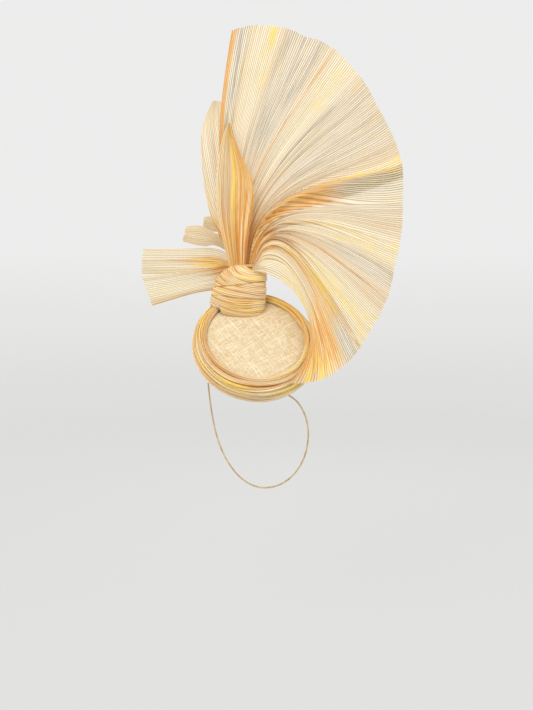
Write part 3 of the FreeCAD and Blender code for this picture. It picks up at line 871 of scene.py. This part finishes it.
# name, CAD node, ribs, seed, gap, flat size, and the two edges
LOOPS = [
    ("loop_low", "loop_front", 12, 71, 6.0, (0.028, 0.13),
     [(-28, 22, 122), (-42, 20, 134), (-58, 17, 137), (-74, 14, 137), (-90, 11, 141)],
     [(-28, 24, 130), (-42, 23, 152), (-58, 20, 158), (-74, 17, 163), (-86, 13, 161)]),
    ("loop_high", "loop_back", 8, 81, 4.0, (0.022, 0.09),
     [(-26, 27, 140), (-40, 28, 152), (-50, 27, 156), (-58, 25, 158), (-65, 23, 162)],
     [(-26, 28, 150), (-42, 29, 166), (-50, 28, 172), (-57, 26, 176), (-64, 24, 175)]),
]
for name, node, ribs, seed, gap, flat, left, right in LOOPS:
    grid = crimped(loop_surface(left, right, 3.0, gap), ribs=ribs, columns=ribs * 8 + 1,
                   rows=120, seed=seed, length=0.13, ragged=0.0,
                   flutes=[(2.0, 0.8, 0.25, 0.2), (2.0, 0.8, 0.75, 0.2)])
    values, at, v = grid[2:]
    near_knot = 1 - swell(np.minimum(v, 1 - v), 0.05, 0.3)
    values["gather_and_shade"] = 0.02 + 0.25 * near_knot * hump(at, -0.1, 0.5, 0.2)
    values["cream_and_highlight"] = 0.5 * hump(at, 0.4, 0.9, 0.1)
    loop = finish_cloth(name, grid, loop_cloth, node)

# %% [markdown]
# ## The swathed ring
# Six folded strands of the cloth are wound round the side of the cap. They lie close
# together under the knot and spread at the left and the bottom. Each is an oval section
# swept round the cap's profile, with its own ribs, which drift slowly round the section as
# they do when a bias strip is twisted.

# %% The cap's profile
BASE = Matrix.Rotation(math.radians(10.0), 3, "Y") @ Matrix.Rotation(math.radians(53.0), 3, "X")
BASE_TURN = np.array(BASE)
CAP_R = 70.0
SHOULDER_R = 12.0
CAP_H = 30.0
DOME_R = 400.0
SHOULDER_AT = CAP_R - SHOULDER_R
SHOULDER_Z = CAP_H - DOME_R + math.sqrt((DOME_R - SHOULDER_R) ** 2 - SHOULDER_AT ** 2)
STRAND_COUNT = 6
STRAND_T = 8.4
STRAND_MIDDLE = 22.2
STRAND_RADIUS = 0.074      # metres, for the length along the weave
RIBS_PER_STRAND = 15
KNOT_BEARING = math.radians(118)
FULL_TURN = 2 * np.pi


def on_cap(distance, lift):
    """Radius, height and swing at a distance up the cap's side and over its shoulder."""
    swing = np.maximum(distance - SHOULDER_Z, 0) / (SHOULDER_R + lift)
    radius = SHOULDER_AT + (SHOULDER_R + lift) * np.cos(swing)
    over = SHOULDER_Z + (SHOULDER_R + lift) * np.sin(swing)
    return radius, np.where(distance > SHOULDER_Z, over, distance), swing


def rounded(wave):
    """A sine or cosine made fuller, for an oval section."""
    return np.sign(wave) * np.abs(wave) ** 0.85


print("shoulder of the cap starts at %.1f mm" % SHOULDER_Z)


# %% Swathe strands
seam = np.linspace(0, FULL_TURN, 361)[:, None]
turn = seam[:-1]
around = np.linspace(0, FULL_TURN, 106)[None, :]
for i in range(STRAND_COUNT):
    seed = 5.0 + 1.7 * i

    def drifting(bearing):
        """Where a rib is round the section at a bearing on the ring."""
        return around + 0.55 * np.sin(bearing + seed) + 0.25 * np.sin(3 * bearing + 2 * seed)

    spread = 0.5 - 0.5 * np.cos(turn - KNOT_BEARING)
    pitch = 3.5 + 1.9 * spread ** 0.8
    stray = 0.5 * np.sin(3 * turn + seed) + 0.35 * np.sin(5 * turn + 2.3 * seed)
    distance = STRAND_MIDDLE + (i - (STRAND_COUNT - 1) / 2) * pitch + stray * spread
    lift = 0.3 + STRAND_T / 2
    radius, height, swing = on_cap(distance, lift)
    uneven = 1 + 0.07 * np.sin(2 * turn + seed) + 0.05 * np.sin(7 * turn + 2 * seed)
    thick = (STRAND_T / 2) * uneven
    wide = pitch / 2 + 0.55 + 0.25 * np.sin(4 * turn + 1.3 * seed)
    drift = drifting(turn)
    ridge = np.cos(RIBS_PER_STRAND * drift) * (0.8 + 0.2 * np.cos(2 * drift + seed))
    fold = np.maximum(np.cos(2 * drift + 1.2 * seed), 0) ** 3
    slit = np.cos(3 * drift - 0.8 * seed + 0.5 * np.sin(2 * turn + seed))
    slit = np.maximum(slit, 0) ** 26
    grow = 1 + (0.34 * ridge + 0.40 * fold - 1.1 * slit - 0.25) / 4.0
    out = thick * rounded(np.cos(around)) * grow
    side = wide * rounded(np.sin(around)) * grow
    r = radius + out * np.cos(swing) - side * np.sin(swing)
    z = height + out * np.sin(swing) + side * np.cos(swing)
    local = np.stack([r * np.cos(turn), r * np.sin(turn), z], -1)
    points = local @ BASE_TURN.T * MM
    threads = 2 * RIBS_PER_STRAND * drifting(seam) / FULL_TURN
    weave = np.stack(np.broadcast_arrays(threads + 0.5 + 40 * i, seam * STRAND_RADIUS), -1)
    # Painted light and shade: shade in the rib valleys, on the sides where strands touch and in
    # the slits, gilt glints, and highlights on lit folds.
    deep = np.abs(np.sin(around)) ** 4
    lit = hump(np.cos(2 * turn + seed), -0.4, 1.1, 0.3)
    values = {
        "groove_shade": 0.45 * (0.5 - 0.5 * ridge) + 0.5 * deep + 0.9 * slit,
        "gather_and_shade": 0.17 + 0.5 * deep + 0.10 * np.sin(2 * turn + seed) + 0.16 * (1 - spread)
        + 0.5 * slit,
        "gilt_glint": 0.60 * hump(np.cos(turn + 0.9 * seed), 0.1, 1.1, 0.3) * (1 - slit),
        "cream_and_highlight": 0.85 * fold * (1 - slit) * lit,
    }
    strand = grid_mesh("swathe_%d" % (i + 1), points, weave, values, closed=True)
    dress(strand, swathe_cloth, "swathe_strand_%d" % (i + 1))

# %% [markdown]
# ## The wrapped knot
# A wide strip is wound round the gathered stem in three turns, each lapping over the one
# below. Level ovals give the knot's body. The strip's ribs run round it in uneven waves, the
# edge of each turn is rolled under, and the top edge curls in over the mouth where the fan
# comes out. The bottom follows the line where the knot meets the disc and the ring.

# %% Knot body
# height, middle x and y, half width, half depth
KNOT_ROWS = np.array([
    (44.0, -20.0, 9.0, 31.0, 15.0),
    (58.0, -21.0, 6.0, 34.0, 19.0),
    (74.0, -19.5, 3.0, 33.5, 20.0),
    (90.0, -16.5, 1.0, 31.0, 18.0),
    (106.0, -9.0, 0.0, 23.0, 13.0),
])
RING_PROUD = 8.2            # how far the swathed ring stands out from the cap
WRAP_CUTS = (67.5, 87.0)    # where one turn ends and the next begins
WRAP_SLOPES = (-0.07, 0.105)
knot_fits = [np.polyfit(KNOT_ROWS[:, 0] / 100, KNOT_ROWS[:, k], 4) for k in (1, 2, 3, 4)]


def knot_wall(angle, height, proud):
    """A point of the knot's wall; angle 0 is the right side and -90 degrees the front."""
    cx, cy, half_w, half_d = (np.polyval(fit, np.clip(height, 40, 108) / 100) for fit in knot_fits)
    x = cx + (half_w + proud) * np.cos(angle)
    y = cy + (half_d + proud) * np.sin(angle)
    return np.stack([x, y, np.broadcast_to(height, x.shape)], -1)


def above_base(points):
    """Height of points over the disc or, further out, over the swathed ring."""
    local = points @ BASE_TURN
    radius = np.hypot(local[..., 0], local[..., 1])
    height = local[..., 2]
    disc = CAP_H - DOME_R + np.sqrt(DOME_R ** 2 - np.minimum(radius, SHOULDER_AT) ** 2)
    dome = height - disc
    past_x = np.maximum(radius - SHOULDER_AT, 0)
    past_z = np.maximum(height - SHOULDER_Z, 0)
    shoulder = np.hypot(past_x, past_z) - SHOULDER_R
    outer = np.where(height > SHOULDER_Z, shoulder, radius - CAP_R)
    return np.where(radius < SHOULDER_AT, dome, outer) - RING_PROUD * swell(radius, 57.0, 61.0)


KNOT_COLUMNS = 420
angles = np.linspace(0, 2 * np.pi, KNOT_COLUMNS + 1)[:-1] + np.pi / 2
ladder = np.linspace(112, 36, 380)
clear = above_base(knot_wall(angles[:, None], ladder[None, :], 0.0))
touch = ladder[np.argmax(clear < 0.0, axis=1)]
for _ in range(10):
    touch = (np.roll(touch, 1) + touch + np.roll(touch, -1)) / 3
print("knot meets the base from %.1f to %.1f mm" % (touch.min(), touch.max()))

# %% Knot wraps
LIP = 113.0
RIDGE_PITCH = 2.4
CREASE_PITCH = 7.9
SLIT_PITCH = 6.1
KNOT_RADIUS = 0.027        # metres, for the length along the weave


def top_edge(angle):
    """The mouth's edge: high at the left, low at the front right where the swoop leaves."""
    dip = np.exp(-((np.mod(angle + 1.05 + np.pi, FULL_TURN) - np.pi) / 0.75) ** 2)
    ripple = 0.7 * np.sin(3 * angle + 0.6) + 0.4 * np.sin(7 * angle)
    return LIP - 7.0 * dip - 2.0 * np.cos(angle) + ripple


x_of = knot_wall(angles, 75.0, 0.0)[:, 0]
bounds = [
    touch,
    WRAP_CUTS[0] + WRAP_SLOPES[0] * x_of + 1.2 * np.sin(2 * angles + 0.5),
    WRAP_CUTS[1] + WRAP_SLOPES[1] * x_of + 1.0 * np.sin(2 * angles + 2.0),
    top_edge(angles),
]
# name, how proud it stands, rows of the mesh, how its ribs fall, and flat size
WRAPS = [("lower", 0.0, 104, 5.0, (0.027, 0.14)),
         ("middle", 0.6, 96, 7.0, (0.026, 0.19)),
         ("upper", 0.9, 120, 10.0, (0.035, 0.19))]
for j, (name, proud, rows, fall, flat) in enumerate(WRAPS):
    low = np.maximum(bounds[j], touch) - (1.2 if j else 0.0)
    high = np.maximum(bounds[j + 1], touch)
    shown = high - low > 2.5
    whole = bool(shown.all())
    keep = np.arange(KNOT_COLUMNS) if whole else np.flatnonzero(shown)
    angle = angles[keep, None]
    low = low[keep, None]
    high = high[keep, None]
    t = np.linspace(0, 1, rows)[None, :]
    height = low + (high - low) * t
    taper = np.ones_like(angle) if whole else swell(high - low, 2.5, 7.0)
    belly = 1.3 * (1 - np.abs(2 * t - 1) ** 3) + proud * (1 - t) * 1.2
    path = height + fall * np.cos(angle) - 5.5 * np.cos(angle) ** 2 \
        + 0.9 * np.sin(3 * angle + height / 9.0 + j)
    ridge = 0.65 + 0.35 * np.sin(2.2 * angle + path / 4.0 + j)
    ridge = np.cos(FULL_TURN * path / RIDGE_PITCH) * ridge
    crease = np.cos(FULL_TURN * path / CREASE_PITCH + 1.4 * np.sin(angle * 1.5 + j))
    slit = np.cos(FULL_TURN * path / SLIT_PITCH + 1.1 * np.sin(2 * angle + 2 * j))
    slit = np.maximum(slit, 0) ** 20
    slit = slit * hump(np.sin(1.5 * angle + path / 3.0 + j), -0.4, 1.2, 0.3)
    rolled = 1 - swell(t, 0.0, 0.06)
    tuck = 2.6 * (1 - swell(t, 0.0, 0.07)) + (0.0 if j == 2 else 2.0 * swell(t, 0.95, 1.0))
    if j == 0:
        tuck = 1.2 * rolled + 1.6 * swell(t, 0.95, 1.0)
    outward = belly * taper + 0.44 * ridge + 0.30 * crease - 1.1 * slit - tuck \
        - (1 - taper) * 1.0
    points = knot_wall(angle, height, outward)
    if j == 2:
        curl = 3.2 * (1 - np.cos(np.pi * np.clip((t - 0.80) / 0.20, 0, 1)))
        sunk = 3.4 * np.clip((t - 0.86) / 0.14, 0, 1) ** 2
        points = knot_wall(angle, height - sunk, outward - curl)
    threads = 2 * path / RIDGE_PITCH + 0.5 + 30 * j
    weave = np.stack(np.broadcast_arrays(threads, angle * KNOT_RADIUS), -1)
    if whole:
        weave = np.concatenate([weave, weave[:1] + np.array([0.0, FULL_TURN * KNOT_RADIUS])])
    # Painted light and shade: shade in the rib valleys, crease hollows, slits and rolled edge,
    # glints on crease crests, highlights on lit ridges.
    hollow = 0.5 - 0.5 * crease
    glints = hump(np.sin(angle * 1.5 + 3 * j), 0.0, 1.1, 0.2)
    lit = hump(np.cos(angle * 2 + j), -0.4, 1.1, 0.3)
    values = {
        "groove_shade": 0.4 * (0.5 - 0.5 * ridge) + 0.2 * hollow + slit + 0.5 * rolled,
        "gather_and_shade": 0.26 + 0.20 * hollow + 0.5 * slit + 0.3 * rolled,
        "gilt_glint": 0.50 * hump(crease, 0.2, 1.2, 0.2) * glints,
        "cream_and_highlight": hump(ridge, 0.3, 1.2, 0.2) * lit,
    }
    wrap = grid_mesh("knot_" + name, points * MM, weave, values, closed=whole)
    dress(wrap, swathe_cloth, "knot_wrap_" + name)

# %% [markdown]
# ## The gathered stem
# Inside the knot's mouth the cloth is drawn together and bound. What can be seen of it is a
# low mound of close gathers that fills the mouth between the roots of the fan and tails.

# %% Stem gathers
STEM_PLEATS = 34
seam = np.linspace(0, FULL_TURN, 241)[:, None]
turn = seam[:-1]
t = np.linspace(0, 1, 40)[None, :]
close = np.cos(STEM_PLEATS * turn + 2.0 * np.sin(3 * turn))
width = (19.5 - 18.5 * t ** 1.6) + 0.7 * close * (1 - t)
points = np.stack([
    -10.5 + width * np.cos(turn),
    -0.5 + width * 0.5 * np.sin(turn),
    97.0 + 11.0 * np.sin(np.pi / 2 * t) + 0.5 * close * t * (1 - t),
], -1)
weave = np.stack(np.broadcast_arrays(STEM_PLEATS * seam / FULL_TURN, t * 0.02), -1)
# painted shade between the gathers, and the deep amber of close gathers
stem = grid_mesh("stem_gathers", points * MM, weave,
                 {"gather_and_shade": 0.9, "groove_shade": 0.5 - 0.5 * close}, closed=True)
dress(stem, gold_cloth, "knot_core")

# %% [markdown]
# ## The sinamay cap and its trimmings
# The cap keeps its CAD shape. Sinamay is a stiff open weave of banana fibre laid on the
# bias, so its threads cross at 45 degrees to the wearer's front. A mapping turns the object's
# coordinates into the cap's own frame, and stretched noise along each direction makes the
# uneven threads and the slubs.

# %% Sinamay
cap_frame = (BASE.transposed()).to_euler("XYZ")


def cap_coordinates(f, turn=0.0):
    """Coordinates in the cap's frame, turned about its axis."""
    place = f.add("ShaderNodeTexCoord").outputs["Object"]
    level = f.add("ShaderNodeMapping", {"Vector": place, "Rotation": cap_frame})
    turned = f.add("ShaderNodeMapping", {"Vector": level.outputs["Vector"],
                                         "Rotation": (0, 0, math.radians(turn))})
    return turned.outputs["Vector"]


def sinamay():
    """Stiff open banana-fibre weave, with slubs both ways."""
    f = Finish("sinamay")
    cloth = cap_coordinates(f, 45.0)
    warp = f.noise(f.stretched(cloth, 1500.0, 160.0, 160.0), 1.0, 2.0, 0.6)
    weft = f.noise(f.stretched(cloth, 160.0, 1500.0, 160.0), 1.0, 2.0, 0.6)
    slub_a = f.noise(f.stretched(cloth, 1000.0, 22.0, 22.0), 1.0, 1.0, 0.5)
    slub_b = f.noise(f.stretched(cloth, 22.0, 1000.0, 22.0), 1.0, 1.0, 0.5)
    cloud = f.noise(cloth, 75.0, 4.0, 0.65)
    weave = f.maths("MAXIMUM", warp, weft)
    tint = f.ramp(weave, [
        (0.38, colour(192, 166, 120)),
        (0.52, colour(220, 200, 162)),
        (0.64, colour(230, 214, 182)),
        (0.78, colour(242, 232, 208)),
    ])
    dark = f.rise(f.maths("MAXIMUM", slub_a, slub_b), 0.60, 0.70)
    tint = f.mix(f.times(dark, 0.45), tint, colour(196, 166, 116))
    bright = f.drop(f.maths("MINIMUM", slub_a, slub_b), 0.30, 0.36)
    tint = f.mix(f.times(bright, 0.5), tint, colour(253, 243, 218))
    haze = f.rise(cloud, 0.42, 0.66)
    tint = f.washed(f.times(haze, 0.30), tint, colour(228, 206, 164))
    f.set(Base_Color=tint, Roughness=0.62, Specular_IOR_Level=0.3, Sheen_Weight=0.15)
    f.set(Normal=f.bump(weave, 0.6, 0.0006))
    return f.material


def woven(name, light, dark, grain, roughness=0.6):
    """A close plain weave or grosgrain for lining, ribbon, binding and thread."""
    f = Finish(name)
    cloth = cap_coordinates(f)
    across = f.noise(f.stretched(cloth, grain, grain, grain * 0.25), 1.0, 2.0, 0.6)
    cloud = f.noise(cloth, 60.0, 2.0, 0.5)
    grey = f.scaled(cloud, 0.35, f.times(across, 0.65), clamp=False)
    tint = f.ramp(grey, [(0.36, colour(*dark)), (0.62, colour(*light))])
    f.set(Base_Color=tint, Roughness=roughness, Sheen_Weight=0.2, Specular_IOR_Level=0.3)
    f.set(Normal=f.bump(across, 0.5, 0.0004))
    return f.material


trim_finishes = {
    "base_crown": sinamay(),
    "base_lining": woven("lining", (244, 232, 208), (226, 206, 170), 900.0),
    "head_ribbon": woven("petersham", (236, 216, 176), (206, 178, 128), 1400.0),
    "edge_wire": woven("covered_wire", (232, 212, 172), (204, 176, 126), 1600.0),
    "edge_binding": woven("binding", (240, 216, 166), (214, 176, 112), 1100.0),
    "stem_thread": woven("silk_thread", (236, 206, 146), (204, 160, 92), 2400.0, 0.45),
    "fan_tack_stitches": woven("tack_thread", (240, 214, 160), (214, 174, 108), 2400.0, 0.45),
    "elastic_shanks": woven("shank_thread", (214, 190, 148), (180, 152, 108), 2400.0, 0.5),
}
for node, finish in trim_finishes.items():
    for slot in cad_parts[node].material_slots:
        slot.material = finish
print("trim finishes on", sorted(trim_finishes))

# %% [markdown]
# ## Light and setting
# A pale round cove with broad soft light suits sheer cloth: the walls light it from all
# round and shine through it, one large lamp gives it direction, and others open the far
# side. The cove is a floor that curves up into a wall, so no horizon shows from any side.

# %% Cove
FLOOR_Z = -0.42
COVE_TURNS = 96
# radius and height of each ring, from the middle of the floor to the top of the wall
COVE_RINGS = [(0.001, 0.0), (0.9, 0.0), (1.9, 0.0), (2.3, 0.06), (2.6, 0.24), (2.78, 0.55),
              (2.8, 1.0), (2.8, 3.4)]
cove_points = []
for radius, height in COVE_RINGS:
    for k in range(COVE_TURNS):
        bearing = 2 * math.pi * k / COVE_TURNS
        cove_points.append((radius * math.cos(bearing), radius * math.sin(bearing),
                            FLOOR_Z + height))
cove_faces = []
for j in range(len(COVE_RINGS) - 1):
    inner = j * COVE_TURNS
    outer = inner + COVE_TURNS
    for k in range(COVE_TURNS):
        k2 = (k + 1) % COVE_TURNS
        cove_faces.append((inner + k, inner + k2, outer + k2, outer + k))
cove_mesh = bpy.data.meshes.new("cove")
cove_mesh.from_pydata(cove_points, [], cove_faces)
cove_mesh.polygons.foreach_set("use_smooth", [True] * len(cove_faces))
cove = placed("cove", cove_mesh)
paper = Finish("cove_paper")
paper_place = paper.add("ShaderNodeTexCoord").outputs["Object"]
paper_height = paper.add("ShaderNodeSeparateXYZ", {0: paper_place}).outputs["Z"]
paper_tint = paper.ramp(paper.maths("SUBTRACT", paper_height, FLOOR_Z), [
    (0.02, (0.15, 0.15, 0.142, 1)),
    (0.85, (0.30, 0.30, 0.30, 1)),
])
paper.set(Base_Color=paper_tint, Roughness=0.9, Specular_IOR_Level=0.1)
paper.set(Emission_Color=(1.0, 1.0, 1.0, 1.0), Emission_Strength=0.57)
cove_mesh.materials.append(paper.material)
print("cove faces", len(cove_faces))

# %% Lamps
world = bpy.data.worlds.new("studio")
world.use_nodes = True
sky = world.node_tree.nodes["Background"].inputs
sky["Color"].default_value = (1.0, 0.99, 0.97, 1.0)
sky["Strength"].default_value = 0.85
scene.world = world
scene.view_settings.view_transform = "Standard"


def soft_lamp(name, place, target, width, power):
    """A round lamp that faces a target; width in metres, power in watts."""
    data = bpy.data.lights.new(name, "AREA")
    data.shape = "DISK"
    data.size = width
    data.energy = power
    lamp = placed(name, data)
    lamp.location = place
    facing = Vector(target) - Vector(place)
    lamp.rotation_euler = facing.to_track_quat("-Z", "Y").to_euler()


soft_lamp("key_lamp", (-0.70, -1.50, 1.20), (0, 0, 0.12), 1.2, 18.5)
soft_lamp("fill_lamp", (1.20, -1.20, 0.70), (0, 0, 0.1), 1.2, 6)
soft_lamp("back_lamp", (0.3, 1.5, 1.0), (0, 0, 0.2), 0.9, 7)
print("lamps", len(bpy.data.lights))

# %% Update the scene
bpy.context.view_layer.update()
